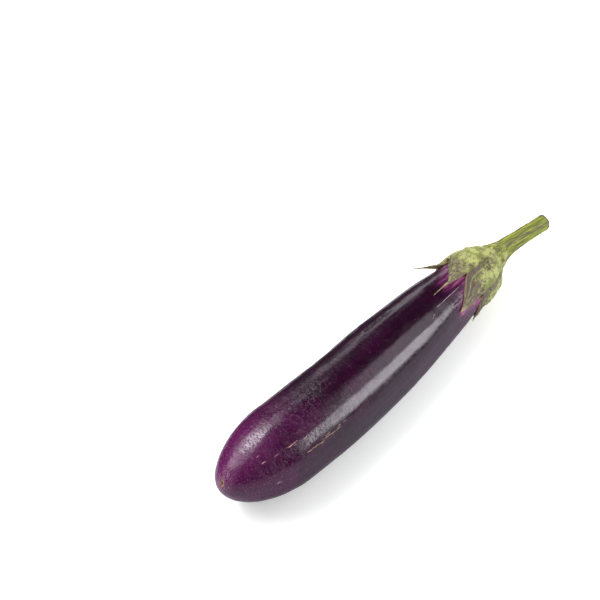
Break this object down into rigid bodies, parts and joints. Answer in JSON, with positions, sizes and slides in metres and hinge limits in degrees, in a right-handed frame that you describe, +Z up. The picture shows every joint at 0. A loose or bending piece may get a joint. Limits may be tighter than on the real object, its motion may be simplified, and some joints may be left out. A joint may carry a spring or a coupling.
{
  "type": "eggplant",
  "caption": "Long slender dark purple eggplant with a lobed green cap and a ribbed cut stem, lying on its side.",
  "frame": {"origin": "on the small flat rest spot, under the fruit's axis, 100 mm from the blossom end", "axes": "+X towards the stem, +Z up from the surface it lies on, and the fruit bows gently towards -Y"},
  "size_m": [0.2632, 0.0451, 0.0437],
  "materials": {
    "skin": "gloss",
    "cap_green": "satin",
    "stem_green": "satin"
  },
  "bodies": {
    "root": {"fruit": "skin", "calyx": "cap_green", "stem": "stem_green"}
  },
  "joints": []
}
